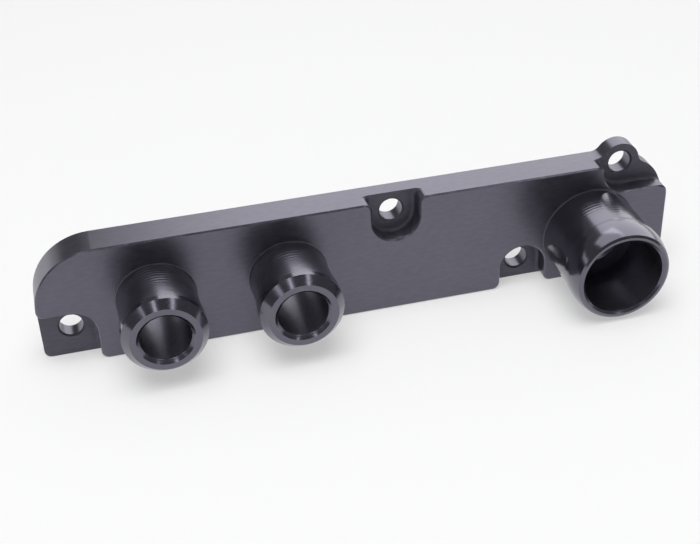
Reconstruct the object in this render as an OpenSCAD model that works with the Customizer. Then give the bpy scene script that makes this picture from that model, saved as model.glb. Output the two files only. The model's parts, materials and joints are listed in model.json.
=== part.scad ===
// Breather adapter: one milled plate that bolts against a flat face, with two small
// hose ports and one large one. Lengths are in millimetres.
//
// The outline is drawn as seen from the front, from the lower left corner of the
// mounting face: x to the right, y up, z out of the front. The finished part stands
// upright: x stays, y becomes +Z, and the mounting face looks along +Y.

/* [Plate] */
// Length of the plate, left end to right end
plate_length = 177.6; // [170:0.1:190]
// Height of the plate without its lug
plate_height = 34.7; // [33:0.1:38]
// Thickness of the plate
plate_thickness = 10; // [8:0.1:14]
// Radius of the large upper left corner
upper_left_r = 16.7; // [8:0.1:18]
// Radius of the lower left corner
lower_left_r = 2.1; // [1:0.1:5]
// Radius of the lower right corner
lower_right_r = 3; // [1:0.1:6]
// Radius of the shoulder between the right end and the lug
shoulder_r = 10.5; // [9:0.1:12]
// Depth of the shoulder's centre below the top edge
shoulder_drop = 12.6; // [11.5:0.1:13.5]

/* [Bolt holes] */
// Diameter of the bolt holes
bolt_hole_d = 6.45; // [5:0.05:8]
// Chamfer on the front rim of a bolt hole
bolt_rim_chamfer = 0.45; // [0.2:0.05:0.8]
// Left hole, from the left end
left_hole_x = 8.3; // [7.5:0.1:11]
// Left hole, from the bottom edge
left_hole_y = 9.1; // [8:0.1:10.5]
// Middle hole, from the left end
middle_hole_x = 97.75; // [90:0.05:105]
// Middle hole, below the top edge
middle_hole_drop = 5.65; // [5:0.05:8]
// Lower hole, from the right end
lower_hole_x = 42.75; // [42:0.05:60]
// Lower hole, from the bottom edge
lower_hole_y = 6.3; // [5:0.05:9]
// Lug hole, from the right end
lug_hole_x = 13; // [12:0.1:14]
// Lug hole, below the top edge
lug_hole_drop = 2.15; // [1.5:0.05:3]

/* [Pockets and lug] */
// Thickness left under the bolt heads
flange_thickness = 4.9; // [3:0.1:7]
// Radius of the pocket round each bolt head
pocket_r = 6.7; // [5.5:0.1:6.9]
// Radius of the flared corners where a pocket meets the edge
mouth_r = 2.1; // [1:0.1:3]
// Radius of the raised face's corner beside the lug
raised_corner_r = 2.7; // [1.5:0.1:3.5]
// Fillet between a pocket's floor and its wall
floor_fillet_r = 1; // [0.5:0.1:1.5]
// Outer radius of the lug round its hole
lug_r = 5.7; // [5:0.1:6.5]
// Fillet on each side of the lug
lug_fillet_r = 3.15; // [2:0.05:4]

/* [Small ports] */
// First small port, from the left end
port_1_x = 31.5; // [29:0.1:36]
// Second small port, from the left end
port_2_x = 67.35; // [62:0.05:75]
// Height of both small ports' axis above the bottom edge
small_port_y = 16.65; // [14:0.05:18]
// How far a small port stands out from the plate's face
small_port_length = 19.26; // [18:0.02:30]
// Outside diameter of its tube
small_tube_d = 21.46; // [20:0.02:22.5]
// Diameter over its hose bead
small_bead_d = 22.6; // [22.5:0.1:24]
// Length of the rounded ramp up to the bead
small_ramp_length = 4.6; // [2:0.1:8]
// Length of the bead
small_bead_length = 3.2; // [2:0.1:5]
// Length of the nose chamfer in front of the bead
small_nose_length = 2.26; // [1:0.02:3]
// Diameter of the flat tip
small_tip_d = 18.72; // [17:0.02:20]
// Diameter of the bore
small_bore_d = 13.4; // [10:0.1:14.5]
// Size of the 45 degree chamfer at the mouth of the bore
small_mouth_chamfer = 1; // [0.4:0.1:1.2]

/* [Large port] */
// Large port, from the right end
large_port_x = 23.2; // [22:0.05:24]
// Height of its axis above the bottom edge
large_port_y = 14.4; // [14:0.05:15]
// How far it stands out from the plate's face
large_port_length = 24.55; // [23:0.05:34]
// Outside diameter of its tube
large_tube_d = 27; // [24:0.1:27.2]
// Diameter over the crest of its hose bead
large_bead_d = 27.95; // [27.3:0.05:29]
// Length of the rounded ramp up to the crest
large_ramp_length = 3; // [2:0.1:8]
// Length of the crest
large_crest_length = 1; // [0.5:0.1:3]
// Length of the rounded fall from the crest to the nose chamfer
large_fall_length = 4.85; // [3:0.05:7]
// Diameter where the nose chamfer starts
large_nose_d = 26.2; // [25.5:0.1:27]
// Length of the nose chamfer
large_nose_length = 0.5; // [0.3:0.05:1.5]
// Diameter of the flat tip
large_tip_d = 25; // [24.2:0.1:26]
// Diameter of the wide bore
large_bore_d = 22.34; // [18:0.02:23]
// Depth of the wide bore, from the tip to its flat step
large_bore_depth = 19.6; // [12:0.1:30]
// Diameter of the passage behind the step
large_passage_d = 13.4; // [8:0.1:16]
// Size of the 45 degree chamfer at the mouth of the bore
large_mouth_chamfer = 0.65; // [0.4:0.05:1]

/* [Edges] */
// Size of the edge break round the front and the pockets
edge_break = 0.4; // [0.2:0.05:0.6]
// Size of the edge break round the mounting face
back_break = 0.3; // [0.1:0.05:0.6]
// Fillet round the foot of each port
port_fillet_r = 0.3; // [0.2:0.05:0.8]

/* [Hidden] */
$fn = 96;
anodised_black = "#2c2a33";
// How far a cut runs past the metal
over = 0.6;
// How far a pocket's outline runs past the plate
clear = 3;
// The front edge's cut ends a little way up the shoulder, inside the lug's pocket
shoulder_foot_angle = 15;

front_z = plate_thickness;
left_hole = [left_hole_x, left_hole_y];
middle_hole = [middle_hole_x, plate_height - middle_hole_drop];
lower_hole = [plate_length - lower_hole_x, lower_hole_y];
lug_hole = [plate_length - lug_hole_x, plate_height - lug_hole_drop];
bolt_holes = [left_hole, middle_hole, lower_hole, lug_hole];
small_ports = [[port_1_x, small_port_y], [port_2_x, small_port_y]];
large_port = [plate_length - large_port_x, large_port_y];

// An outline is a list of arcs met one after another anticlockwise, with straight
// runs between them. An arc is [centre, radius, start angle, end angle]. One whose
// end angle is the smaller is hollow: the shape lies outside its circle. An arc of
// no radius is a sharp corner.
function unit(angle) = [cos(angle), sin(angle)];
function is_hollow(arc) = arc[3] < arc[2];
function start_point(arc) = arc[0] + arc[1] * unit(arc[2]);
function end_point(arc) = arc[0] + arc[1] * unit(arc[3]);
function corner_point(arc, grow = 0) =
    arc[0] + (arc[1] + grow) / cos((arc[3] - arc[2]) / 2) * unit((arc[2] + arc[3]) / 2);
function angle_of(v) = atan2(v.y, v.x);
function sharp_corner(at) = [at, 0, 0, 0];

// The same arcs walked the other way round, with a half circle given as two quarters
function turned_back(arcs) = [
    for (i = [len(arcs) - 1:-1:0])
        each let (arc = arcs[i], middle = (arc[2] + arc[3]) / 2)
            abs(arc[3] - arc[2]) < 180
                ? [[arc[0], arc[1], arc[3], arc[2]]]
                : [[arc[0], arc[1], arc[3], middle], [arc[0], arc[1], middle, arc[2]]]
];

// Flange outline: the plate with its lug, seen at the level of the pocket floors
shoulder = [plate_length - shoulder_r, plate_height - shoulder_drop];

// The fillet right of the lug touches the lug and the shoulder
lug_reach = lug_r + lug_fillet_r;
shoulder_reach = shoulder_r + lug_fillet_r;
lug_to_shoulder = shoulder - lug_hole;
lug_gap = norm(lug_to_shoulder);
lug_share = (lug_reach ^ 2 - shoulder_reach ^ 2 + lug_gap ^ 2) / (2 * lug_gap);
toward = lug_to_shoulder / lug_gap;
right_fillet = lug_hole + lug_share * toward
    + sqrt(lug_reach ^ 2 - lug_share ^ 2) * [-toward.y, toward.x];

// The fillet left of the lug touches the lug and the top edge
left_fillet_y = plate_height + lug_fillet_r;
left_fillet = [
    lug_hole.x - sqrt(lug_reach ^ 2 - (left_fillet_y - lug_hole.y) ^ 2),
    left_fillet_y
];

shoulder_end = angle_of(right_fillet - shoulder);
lug_start = angle_of(right_fillet - lug_hole);
lug_end = angle_of(left_fillet - lug_hole);
lower_left_corner = [[lower_left_r, lower_left_r], lower_left_r, 180, 270];
lower_right_corner = [[plate_length - lower_right_r, lower_right_r], lower_right_r, 270, 360];
upper_left_corner = [[upper_left_r, plate_height - upper_left_r], upper_left_r, 90, 180];
flange_outline = [
    lower_left_corner,
    lower_right_corner,
    [shoulder, shoulder_r, 0, shoulder_end],
    [right_fillet, lug_fillet_r, shoulder_end + 180, lug_start + 180],
    [lug_hole, lug_r, lug_start, lug_end],
    [left_fillet, lug_fillet_r, lug_end + 180, 270],
    upper_left_corner
];

// Pockets: each is given by the wall it leaves on the raised face, mouth to mouth
left_pocket = [
    [[mouth_r, left_hole.y + pocket_r + mouth_r], mouth_r, 180, 270],
    [left_hole, pocket_r, 90, 0],
    [[left_hole.x + pocket_r + mouth_r, mouth_r], mouth_r, 180, 270]
];
lower_pocket = [
    [[lower_hole.x - pocket_r - mouth_r, mouth_r], mouth_r, 270, 360],
    [lower_hole, pocket_r, 180, 0],
    [[lower_hole.x + pocket_r + mouth_r, mouth_r], mouth_r, 180, 270]
];
middle_pocket = [
    [[middle_hole.x + pocket_r + mouth_r, plate_height - mouth_r], mouth_r, 90, 180],
    [middle_hole, pocket_r, 360, 180],
    [[middle_hole.x - pocket_r - mouth_r, plate_height - mouth_r], mouth_r, 0, 90]
];

lug_pocket = [
    [
        [plate_length - raised_corner_r, lug_hole.y - pocket_r - raised_corner_r],
        raised_corner_r, 0, 90
    ],
    [lug_hole, pocket_r, 270, 180],
    [[lug_hole.x - pocket_r - mouth_r, plate_height - mouth_r], mouth_r, 0, 90]
];

// The front edge runs from the raised corner beside the lug, round over the top and the
// bottom, and back up the right end to the foot of the shoulder
shoulder_foot = [shoulder, shoulder_r, 0, shoulder_foot_angle];
front_edge = concat(
    lug_pocket,
    middle_pocket,
    [upper_left_corner],
    left_pocket,
    lower_pocket,
    [lower_right_corner, shoulder_foot]
);

// Each pocket's wall, then the corners beyond the plate's edge that close its outline
clear_top = plate_height + 2 * lug_r;
clear_right = plate_length + clear;
pockets = [
    [left_pocket, [
        [-clear, left_pocket[0][0].y], [-clear, -clear], [left_pocket[2][0].x, -clear]
    ]],
    [lower_pocket, [
        [lower_pocket[0][0].x, -clear], [lower_pocket[2][0].x, -clear]
    ]],
    [middle_pocket, [
        [middle_pocket[0][0].x, clear_top], [middle_pocket[2][0].x, clear_top]
    ]],
    [lug_pocket, [
        [clear_right, lug_pocket[0][0].y], [clear_right, clear_top],
        [lug_pocket[2][0].x, clear_top]
    ]]
];

// What lies between an arc and the corner that it rounds
module corner_bit(arc) {
    difference() {
        polygon([
            arc[0],
            arc[0] + (arc[1] + over) * unit(arc[2]),
            corner_point(arc, over),
            arc[0] + (arc[1] + over) * unit(arc[3])
        ]);
        translate(arc[0]) circle(r = arc[1]);
    }
}

// The polygon passes through the middle of each hollow arc, whose disc is then cut out
module outline_shape(arcs) {
    difference() {
        polygon([
            for (arc = arcs)
                each is_hollow(arc)
                    ? [start_point(arc), arc[0], end_point(arc)]
                    : [corner_point(arc)]
        ]);
        for (arc = arcs)
            if (is_hollow(arc)) translate(arc[0]) circle(r = arc[1]);
            else if (arc[1] > 0) corner_bit(arc);
    }
}

// Carries a section along an outline. In the section, x runs into the metal and y up.
module follow_arc(arc) {
    from = min(arc[2], arc[3]);
    translate(arc[0]) rotate_extrude(start = from, angle = abs(arc[3] - arc[2]))
        translate([arc[1], 0])
            if (is_hollow(arc)) children();
            else mirror([1, 0]) children();
}

module follow_line(from, to) {
    run = to - from;
    if (norm(run) > 0.01)
        translate(from) rotate([90, 0, 90 + angle_of(run)])
            linear_extrude(norm(run)) children();
}

module follow_arcs(arcs) {
    for (arc = arcs) follow_arc(arc) children();
}

module follow_lines(arcs, closed) {
    last = len(arcs) - 1;
    for (i = [0:closed ? last : last - 1])
        follow_line(end_point(arcs[i]), start_point(arcs[(i + 1) % len(arcs)])) children();
}

// Cuts a section out of the first child all along an outline, the runs before the arcs
module cut_along(arcs, height, closed = true) {
    difference() {
        difference() {
            children(0);
            translate([0, 0, height]) follow_lines(arcs, closed) children(1);
        }
        translate([0, 0, height]) follow_arcs(arcs) children(1);
    }
}

// Section of the cut that breaks a front edge
module front_edge_section() {
    polygon([[edge_break + over, over], [-over, -edge_break - over], [-over, over]]);
}

// Section of the cut that breaks an edge of the mounting face
module back_edge_section() {
    polygon([[back_break + over, -over], [-over, back_break + over], [-over, -over]]);
}

// Section of the fillet at the foot of a pocket's wall
module floor_fillet_section() {
    difference() {
        translate([-floor_fillet_r, 0]) square(floor_fillet_r);
        translate([-floor_fillet_r, floor_fillet_r]) circle(r = floor_fillet_r);
    }
}

// What one pocket takes out: a flat floor with a fillet up to its wall
module pocket_cut(pocket) {
    wall = pocket[0];
    beyond = [for (at = pocket[1]) sharp_corner(at)];
    translate([0, 0, flange_thickness]) cut_along(wall, 0, closed = false) {
        linear_extrude(plate_thickness) outline_shape(concat(turned_back(wall), beyond));
        floor_fillet_section();
    }
}

module plate() {
    cut_along(front_edge, front_z, closed = false) {
        difference() {
            cut_along(flange_outline, 0) {
                linear_extrude(plate_thickness) outline_shape(flange_outline);
                back_edge_section();
            }
            for (pocket = pockets) pocket_cut(pocket);
        }
        front_edge_section();
    }
}

// Radius, to a hundredth, of an arc that leaves the top of a bead without a crease and
// drops by a given height over a given length
function drop_radius(length, drop) = round(50 * (length ^ 2 + drop ^ 2) / drop) / 100;

// Half of a port's section, with x as the radius and y as the distance from the face: a
// fillet at the foot, the tube, and from the ramp on the bead's full width up to the nose
module port_blank(tube_r, bead_r, ramp_start, nose, tip) {
    foot = tube_r + port_fillet_r;
    root = -edge_break - over;
    nose_slope = (nose.x - tip.x) / (tip.y - nose.y);
    outline_shape([
        sharp_corner([0, root]),
        sharp_corner([foot, root]),
        [[foot, port_fillet_r], port_fillet_r, 270, 180],
        sharp_corner([tube_r, ramp_start]),
        sharp_corner([bead_r, ramp_start]),
        sharp_corner([bead_r, nose.y - (bead_r - nose.x) / nose_slope]),
        sharp_corner(tip),
        sharp_corner([0, tip.y])
    ]);
}

// What an arc from the top of a bead leaves off inside the box between two corners
module beyond_arc(low, high, top, arc_r) {
    difference() {
        translate(low) square(high - low);
        translate(top - [arc_r, 0]) circle(r = arc_r);
    }
}

// A land, chamfered in front, behind which a rounded ramp falls to the tube
module small_port_outside() {
    tube_r = small_tube_d / 2;
    bead_r = small_bead_d / 2;
    nose = [bead_r, small_port_length - small_nose_length];
    tip = [small_tip_d / 2, small_port_length];
    land = [bead_r, nose.y - small_bead_length];
    ramp_start = land.y - small_ramp_length - over;
    ramp_r = drop_radius(small_ramp_length, bead_r - tube_r);
    rotate_extrude() difference() {
        port_blank(tube_r, bead_r, ramp_start, nose, tip);
        beyond_arc([tube_r, ramp_start - over], land + [over, 0], land, ramp_r);
    }
}

// A low crest, rounded both ways, to the tube and to the nose
module large_port_outside() {
    tube_r = large_tube_d / 2;
    bead_r = large_bead_d / 2;
    nose = [large_nose_d / 2, large_port_length - large_nose_length];
    tip = [large_tip_d / 2, large_port_length];
    crest_end = [bead_r, nose.y - large_fall_length];
    crest_start = crest_end - [0, large_crest_length];
    ramp_start = crest_start.y - large_ramp_length - over;
    ramp_r = drop_radius(large_ramp_length, bead_r - tube_r);
    fall_r = drop_radius(large_fall_length, bead_r - nose.x);
    rotate_extrude() difference() {
        port_blank(tube_r, bead_r, ramp_start, nose, tip);
        beyond_arc([tube_r, ramp_start - over], crest_start + [over, 0], crest_start, ramp_r);
        beyond_arc([tip.x, crest_end.y], [bead_r + over, tip.y + over], crest_end, fall_r);
    }
}

// 45 degree chamfers on a bore: at its front mouth, and at the mounting face
module front_chamfer(r, mouth, size) {
    translate([0, 0, mouth - size]) cylinder(r1 = r, r2 = r + size + over, h = size + over);
}

module back_chamfer(r) {
    translate([0, 0, -over])
        cylinder(r1 = r + back_break + over, r2 = r, h = back_break + over);
}

module through_bore(r, mouth, chamfer) {
    translate([0, 0, -over]) cylinder(r = r, h = mouth + 2 * over);
    front_chamfer(r, mouth, chamfer);
    back_chamfer(r);
}

// The wide bore ends at a flat step, and a narrower passage runs on to the mounting face
module stepped_bore() {
    mouth = front_z + large_port_length;
    step = mouth - large_bore_depth;
    translate([0, 0, step]) cylinder(d = large_bore_d, h = large_bore_depth + over);
    translate([0, 0, -over]) cylinder(d = large_passage_d, h = step + 2 * over);
    front_chamfer(large_bore_d / 2, mouth, large_mouth_chamfer);
    back_chamfer(large_passage_d / 2);
}

module adapter_solid() {
    difference() {
        union() {
            plate();
            for (at = small_ports) translate([at.x, at.y, front_z]) small_port_outside();
            translate([large_port.x, large_port.y, front_z]) large_port_outside();
        }
        for (at = bolt_holes) translate(at)
            through_bore(bolt_hole_d / 2, flange_thickness, bolt_rim_chamfer);
        for (at = small_ports) translate(at)
            through_bore(small_bore_d / 2, front_z + small_port_length, small_mouth_chamfer);
        translate(large_port) stepped_bore();
    }
}

module adapter_body() {
    color(anodised_black) rotate([90, 0, 0])
        translate([-plate_length / 2, -plate_height / 2, 0]) adapter_solid();
}

adapter_body();
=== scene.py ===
import json
from math import pi

import bpy
from mathutils import Matrix, Vector


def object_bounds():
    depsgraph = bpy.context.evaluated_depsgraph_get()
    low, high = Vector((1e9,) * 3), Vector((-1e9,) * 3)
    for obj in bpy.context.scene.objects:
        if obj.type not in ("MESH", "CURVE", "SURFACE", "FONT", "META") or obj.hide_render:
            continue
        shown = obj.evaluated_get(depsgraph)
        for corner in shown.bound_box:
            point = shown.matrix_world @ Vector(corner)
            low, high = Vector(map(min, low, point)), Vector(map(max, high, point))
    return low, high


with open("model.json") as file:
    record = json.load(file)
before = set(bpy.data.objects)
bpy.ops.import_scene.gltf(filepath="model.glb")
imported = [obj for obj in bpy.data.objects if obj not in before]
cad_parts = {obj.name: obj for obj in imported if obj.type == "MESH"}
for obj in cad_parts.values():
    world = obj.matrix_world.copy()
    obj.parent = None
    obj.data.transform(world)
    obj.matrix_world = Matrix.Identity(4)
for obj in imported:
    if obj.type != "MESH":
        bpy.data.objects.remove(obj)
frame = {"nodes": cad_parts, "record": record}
cad_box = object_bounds()


# The adapter: one plate with three hose ports, milled from a billet of aluminium and
# anodised satin black. The oxide takes its look from what lies under it, so the steps of
# the cutter show as rings round the ports and as faint arcs across the face.
adapter = frame["nodes"]["adapter_body"]
mounts = {mount["name"]: mount for mount in frame["record"]["mounts"]}
MM = 0.001


class Finish:
    """The nodes of one finish. node() adds one and gives the signal that it sends out."""

    def __init__(self, owner):
        owner.use_nodes = True
        self.tree = owner.node_tree
        self.tree.nodes.clear()

    def node(self, kind, settings, sockets, output=0):
        made = self.tree.nodes.new(kind)
        for name, value in settings.items():
            setattr(made, name, value)
        for name, value in sockets.items():
            if isinstance(value, Signal):
                self.tree.links.new(value.socket, made.inputs[name])
            else:
                made.inputs[name].default_value = value
        if made.outputs:
            return Signal(self, made.outputs[output])


class Signal:
    """What a node sends out. Sums and products of signals add the nodes that do them."""

    def __init__(self, finish, socket):
        self.finish = finish
        self.socket = socket

    def math(self, operation, *others):
        values = dict(enumerate((self, *others)))
        return self.finish.node("ShaderNodeMath", {"operation": operation}, values)

    def __add__(self, other):
        return self.math("ADD", other)

    def __sub__(self, other):
        return self.math("SUBTRACT", other)

    def __mul__(self, other):
        return self.math("MULTIPLY", other)

    def __rsub__(self, other):
        return (self * -1) + other

    __radd__ = __add__
    __rmul__ = __mul__

    def rise(self, start, end):
        """Goes smoothly from 0 at start to 1 at end."""
        return self.finish.node(
            "ShaderNodeMapRange", {"interpolation_type": "SMOOTHSTEP"},
            {"Value": self, "From Min": start, "From Max": end})


anodised_metal = bpy.data.materials.new("anodised_metal")
anodised = Finish(anodised_metal)


def noise(at, size, detail):
    """A cloudy pattern from 0 to 1 whose patches are about size wide, in millimetres."""
    return anodised.node(
        "ShaderNodeTexNoise", {}, {"Vector": at, "Scale": 1 / size, "Detail": detail})


def patches(at, size, detail, start, end):
    """The same pattern, cut to 0 where it is below start and to 1 where it is above end."""
    return noise(at, size, detail).rise(start, end)


def blend(share, first, second):
    """The first colour where share is 0 and the second where it is 1."""
    return anodised.node(
        "ShaderNodeMix", {"data_type": "RGBA"}, {0: share, 6: first, 7: second}, output=2)


# The place on the part in millimetres, and how squarely the surface faces forward or back
object_place = anodised.node("ShaderNodeTexCoord", {}, {}, output="Object")
object_normal = anodised.node("ShaderNodeTexCoord", {}, {}, output="Normal")
place = anodised.node(
    "ShaderNodeVectorMath", {"operation": "SCALE"}, {0: object_place, "Scale": 1 / MM})
x, y, z = (
    anodised.node("ShaderNodeSeparateXYZ", {}, {0: place}, output=axis) for axis in "XYZ")
facing = anodised.node(
    "ShaderNodeSeparateXYZ", {}, {0: object_normal}, output="Y").math("ABSOLUTE")

# Distance in front of the plate's face, which the ports stand out from
PLATE_THICKNESS = 10
stand_out = y * -1 - PLATE_THICKNESS


def distance_to_axis(mount):
    """Distance in millimetres from the axis of a port, which runs along y."""
    across, _, up = (value / MM for value in mount["pos_m"])
    return ((x - across).math("POWER", 2) + (z - up).math("POWER", 2)).math("SQRT")


# 0 inside the bores, and 1 outside the rims of their mouths
MOUTH_RIM = 1
outside_bores = 1
for name in ("first_small_port_bore", "second_small_port_bore", "large_port_bore"):
    radius = mounts[name]["dims"]["r_mm"]
    outside_bores *= distance_to_axis(mounts[name]).rise(radius, radius + MOUTH_RIM)

# The ports are of two sizes, told apart by their distance from the large one's axis
LARGE_PORT_REACH = 16
REACH_EDGE = 1
by_large = 1 - distance_to_axis(mounts["large_port_bore"]).rise(
    LARGE_PORT_REACH, LARGE_PORT_REACH + REACH_EDGE)


def by_port(small, large):
    """One value for the small ports and another for the large one."""
    return by_large * (large - small) + small


# Each tube ends in a ramp up to its bead. Turned rings run round it and fade towards the
# bead. Here and there pale lines are painted in the grooves between them, a painted
# highlight where the rings catch the light.
tube_end = by_port(small=9.2, large=15.2)
bead_start = by_port(small=13.8, large=18.2)
RING_PITCH = 1.2
RINGS_BEGIN = (0.3, 0.8)
RINGS_FADE = 12
GROOVE_HIGHLIGHT_SPAN = (0.45, 0.95)
LARGE_HIGHLIGHT_LOSS = 0.6
on_tube = stand_out.rise(*RINGS_BEGIN) * (bead_start - stand_out).rise(0, RINGS_FADE)
rings = (stand_out * (pi / RING_PITCH)).math("SINE").math("ABSOLUTE")
ring_relief = rings * on_tube * outside_bores * by_port(small=0.075, large=0.022)
# Painted highlight: pale lines in the ring grooves, standing for light caught by the turned
# rings
ring_highlight_lines = (
    (1 - rings).rise(*GROOVE_HIGHLIGHT_SPAN) * on_tube * outside_bores
    * (1 - by_large * LARGE_HIGHLIGHT_LOSS)
    * patches(place, size=4, detail=2, start=0.35, end=0.6))

# Relief that evens out the light over the ramps. On the mounting face it is the same
# inside the bores as round them, so that no edge shows there.
RAMP_DROP = 0.5
NEAR_BACK = (-8, -2)
behind_bead = (bead_start - stand_out).math("DIVIDE", bead_start - tube_end)
share_of_drop = behind_bead.math("MAXIMUM", 0).math("MINIMUM", 1).math("POWER", 2)
behind_face = 1 - stand_out.rise(*NEAR_BACK)
ramp_relief = share_of_drop * outside_bores.math("MAXIMUM", behind_face) * RAMP_DROP

# Finer marks from the boring tool, inside the ports
BORE_PITCH = 0.55
BORE_MARK_HEIGHT = 0.006
bore_marks = (y * (2 * pi / BORE_PITCH)).math("SINE")
bore_relief = bore_marks * (1 - outside_bores) * BORE_MARK_HEIGHT

# Arcs left by the facing cutter as it ran along the plate
FACING_RADIUS = 26
FACING_PITCH = 0.9
FACING_HEIGHT = 0.004
SQUARE_ON = (0.97, 0.995)
FACE_DEPTH = 0.3
FACE_EDGE = 0.2
at_face = (
    stand_out.rise(-FACE_DEPTH, FACE_EDGE - FACE_DEPTH)
    * (FACE_DEPTH - stand_out).rise(0, FACE_EDGE))
on_face = facing.rise(*SQUARE_ON) * at_face
cutter_edge = x + (FACING_RADIUS ** 2 - z * z).math("SQRT")
facing_marks = (cutter_edge * (2 * pi / FACING_PITCH)).math("SINE")
facing_relief = (
    facing_marks * on_face
    * patches(place, size=14, detail=2, start=0.35, end=0.7) * FACING_HEIGHT)

# The satin grain of the oxide itself, fainter on what is turned, and on the face short
# streaks along the plate
GRAIN_HEIGHT = 0.004
GRAIN_LOSS_TURNED = 0.96
STREAK_HEIGHT = 0.003
STREAK_SQUEEZE = (0.35, 1, 1)
TUBES_BEGIN = (0, 0.4)
turned = stand_out.rise(*TUBES_BEGIN) * outside_bores
grain_relief = (
    noise(place, size=0.35, detail=3) * (1 - turned * GRAIN_LOSS_TURNED) * GRAIN_HEIGHT)
along_plate = anodised.node(
    "ShaderNodeVectorMath", {"operation": "MULTIPLY"}, {0: place, 1: STREAK_SQUEEZE})
streak_relief = noise(along_plate, size=0.45, detail=2) * on_face * STREAK_HEIGHT

relief = anodised.node(
    "ShaderNodeBump", {},
    {"Strength": 1, "Distance": MM,
     "Height": (
         ring_relief + ramp_relief + bore_relief + facing_relief + grain_relief
         + streak_relief)})

# The plate's front chamfers face half way between the face and the sides. The oxide on
# them is rubbed a little paler where the part has been handled.
OFF_THE_SIDES = (0.35, 0.6)
OFF_THE_FACE = (0.85, 0.97)
CHAMFERS_BEGIN = (-0.8, -0.6)
CHAMFERS_END = (0, 0.02)
slanted = facing.rise(*OFF_THE_SIDES) * (1 - facing.rise(*OFF_THE_FACE))
front_edge = stand_out.rise(*CHAMFERS_BEGIN) * (1 - stand_out.rise(*CHAMFERS_END))
rubbed = (
    slanted * front_edge * patches(place, size=2.5, detail=4, start=0.5, end=0.75))

# Elsewhere the black is mottled, less so on what is turned
BLACK = (0.007, 0.0066, 0.010, 1)
BLACK_THIN = (0.030, 0.0285, 0.035, 1)
# The pale colour is real wear on the chamfers and a painted highlight in the ring grooves
PALE_WEAR_AND_RING_HIGHLIGHT = (0.075, 0.073, 0.083, 1)
CLOUDY_SHARE = 0.4
MOTTLE_LOSS_TURNED = 0.7
cloudy = patches(place, size=18, detail=3, start=0.3, end=0.7)
mottled = patches(along_plate, size=0.9, detail=3, start=0.35, end=0.65)
thin = (
    (cloudy * CLOUDY_SHARE + mottled * (1 - CLOUDY_SHARE))
    * (1 - turned * MOTTLE_LOSS_TURNED))
handled = blend(rubbed, blend(thin, BLACK, BLACK_THIN), PALE_WEAR_AND_RING_HIGHLIGHT)
# Painted highlight: the ring grooves take the pale colour
colour = blend(ring_highlight_lines, handled, PALE_WEAR_AND_RING_HIGHLIGHT)

# The noses and the large port are turned smoother than the small tubes, and the bores and
# the floors of the pockets are duller than the face
SATIN = 0.25
PATCHY = 0.06
GRAINY = 0.04
SMOOTHER_TURNED = 0.13
SMOOTHER_MOUTHS = 0.13
DULLER_FEET = 0.3
DULLER_POCKETS = 0.35
DULLER_BORES = 0.08
LARGE_PORT_SMOOTH = 0.7
NOSE_FROM_BEAD = (1, 2)
FEET_BEGIN = (0, 0.02)
FEET_HEIGHT = 0.5
FEET_EDGE = 0.1
FLAT_FLOOR = (0.2, 0.4)
POCKET_BOTTOM = (-9, -8)
POCKET_TOP = (-1.5, -0.5)
at_foot = (
    stand_out.rise(*FEET_BEGIN) * (FEET_HEIGHT - stand_out).rise(0, FEET_EDGE)
    * outside_bores)
nose = (stand_out - bead_start).rise(*NOSE_FROM_BEAD)
smooth = nose.math("MAXIMUM", by_large * LARGE_PORT_SMOOTH) * turned
polished = nose * slanted
in_pocket = (
    facing.rise(*FLAT_FLOOR) * stand_out.rise(*POCKET_BOTTOM)
    * (1 - stand_out.rise(*POCKET_TOP)))
roughness = (
    noise(place, size=9, detail=4) * PATCHY + noise(place, size=0.8, detail=2) * GRAINY
    + SATIN - smooth * SMOOTHER_TURNED + at_foot * DULLER_FEET
    + in_pocket * DULLER_POCKETS + (1 - outside_bores) * DULLER_BORES
    - (1 - turned) * polished * SMOOTHER_MOUTHS)

# The oxide mirrors strongly for its blackness, with a violet cast, and shines a little
# more where it is turned
OXIDE_IOR = 2.2
OXIDE_CAST = (0.82, 0.80, 1.0, 1)
TURNED_SHINE = 0.3
SHINE_ROUGHNESS = 0.08
metal = anodised.node(
    "ShaderNodeBsdfPrincipled", {},
    {"Base Color": colour, "Roughness": roughness, "Normal": relief, "IOR": OXIDE_IOR,
     "Specular Tint": OXIDE_CAST, "Coat Weight": turned * TURNED_SHINE,
     "Coat Roughness": SHINE_ROUGHNESS})
anodised.node("ShaderNodeOutputMaterial", {}, {"Surface": metal})
adapter.data.materials.clear()
adapter.data.materials.append(anodised_metal)


# The ground: a white sweep that the adapter stands on, upright on its long edge. It shows
# close to plain white in the picture and in the metal, and keeps the soft shadows.
GROUND_REACH = 4
GROUND_NEAR = 0.25
GROUND_FAR = 0.8
GROUND_WHITE = (0.93, 0.93, 0.935, 1)
GROUND_ROUGHNESS = 0.9
GROUND_GLOW = 0.4
GROUND_GLOW_IN_METAL = 0.6


def seen_by(finish, *rays):
    """1 where one of the rays meets the surface: a look from the camera, or in a mirror."""
    return sum(
        finish.node("ShaderNodeLightPath", {}, {}, output=f"Is {ray} Ray") for ray in rays)


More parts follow.
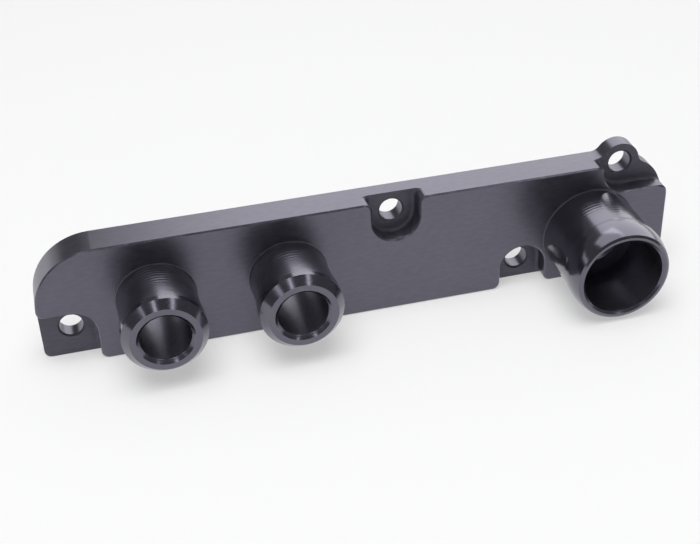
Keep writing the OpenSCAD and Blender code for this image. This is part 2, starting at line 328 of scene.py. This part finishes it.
lowest, _ = cad_box
ground_mesh = bpy.data.meshes.new("ground")
corners = [(-1, -1), (1, -1), (1, 1), (-1, 1)]
ground_mesh.from_pydata(
    [(GROUND_REACH * across, GROUND_REACH * along, lowest.z) for across, along in corners],
    [], [(0, 1, 2, 3)])
ground = bpy.data.objects.new("ground", ground_mesh)
bpy.context.scene.collection.objects.link(ground)
white_paper = bpy.data.materials.new("white_paper")
paper = Finish(white_paper)
sheet = paper.node(
    "ShaderNodeBsdfPrincipled", {},
    {"Base Color": GROUND_WHITE, "Roughness": GROUND_ROUGHNESS})
far_off = paper.node(
    "ShaderNodeVectorMath", {"operation": "LENGTH"},
    {0: paper.node("ShaderNodeTexCoord", {}, {}, output="Object")},
    output="Value").rise(GROUND_NEAR, GROUND_FAR)
share_white = (
    seen_by(paper, "Camera", "Transmission") * (far_off + GROUND_GLOW)
    + seen_by(paper, "Glossy") * (far_off + GROUND_GLOW_IN_METAL)).math("MINIMUM", 1)
plain_white = paper.node("ShaderNodeEmission", {}, {"Strength": 1})
on_paper = paper.node(
    "ShaderNodeMixShader", {}, {0: share_white, 1: sheet, 2: plain_white})
paper.node("ShaderNodeOutputMaterial", {}, {"Surface": on_paper})
ground_mesh.materials.append(white_paper)


# The light: one soft key lamp overhead and the pale room light the adapter. Its metal
# mirrors white panels behind, above and on the left, three narrow strips in front, and a
# darker room.
ROOM_FILL = 0.35
ROOM_DARK = 0.16
ROOM_WHITE = (1, 1, 1, 1)
scene = bpy.context.scene
scene.world = bpy.data.worlds.new("room")
room = Finish(scene.world)
to_eye = seen_by(room, "Camera", "Transmission")
lit = seen_by(room, "Glossy") * (ROOM_DARK - ROOM_FILL) + ROOM_FILL
glow = room.node(
    "ShaderNodeBackground", {},
    {"Color": ROOM_WHITE, "Strength": lit.math("MAXIMUM", to_eye)})
room.node("ShaderNodeOutputWorld", {}, {"Surface": glow})


def lamp(name, at, width, height, radiance, in_metal=True):
    """A flat lamp turned towards the part, which either lights it or shows in the metal."""
    light = bpy.data.lights.new(name, "AREA")
    light.shape = "RECTANGLE"
    light.size, light.size_y = width, height
    light.energy = radiance * pi * width * height
    panel = bpy.data.objects.new(name, light)
    scene.collection.objects.link(panel)
    panel.visible_diffuse = not in_metal
    panel.visible_glossy = in_metal
    to_part = -Vector(at)
    panel.matrix_world = (
        Matrix.Translation(at) @ to_part.to_track_quat("-Z", "Y").to_matrix().to_4x4())


lamp("key", (-0.12, -0.22, 1.10), width=0.9, height=0.9, radiance=4.15, in_metal=False)
lamp("softbox_behind", (0.38, 0.42, 0.40), width=1.04, height=0.84, radiance=1.8)
lamp("softbox_above", (-0.06, 0.22, 0.62), width=0.60, height=0.40, radiance=1.3)
lamp("wall_left", (-0.55, 0.35, 0.12), width=0.50, height=0.26, radiance=1.1)
lamp("strip_right", (0.50, -0.54, 0.94), width=0.11, height=0.5, radiance=3)
lamp("strip_left", (-0.36, -0.62, 0.92), width=0.11, height=0.5, radiance=3)
lamp("strip_low_left", (-0.82, -0.50, 0.62), width=0.09, height=0.35, radiance=2)


# The camera stands where the photograph was taken from, above the rounded end, and leans
# slightly to one side.
CAMERA_PLACE = (-0.07087, -0.29431, 0.19368)
SIGHT = Vector((0.18877, 0.80778, -0.55845)).normalized()
CAMERA_TOP = Vector((0.16535, 0.53441, 0.82890))
LENS = 66.07
SENSOR_WIDTH = 36
NEAREST_SEEN = 0.01
camera_data = bpy.data.cameras.new("camera")
camera_data.lens = LENS
camera_data.sensor_width = SENSOR_WIDTH
camera_data.clip_start = NEAREST_SEEN
camera = bpy.data.objects.new("camera", camera_data)
scene.collection.objects.link(camera)
to_right = SIGHT.cross(CAMERA_TOP).normalized()
camera.matrix_world = (
    Matrix.Translation(CAMERA_PLACE)
    @ Matrix((to_right, to_right.cross(SIGHT), -SIGHT)).transposed().to_4x4())
scene.camera = camera
scene.view_settings.view_transform = "Standard"
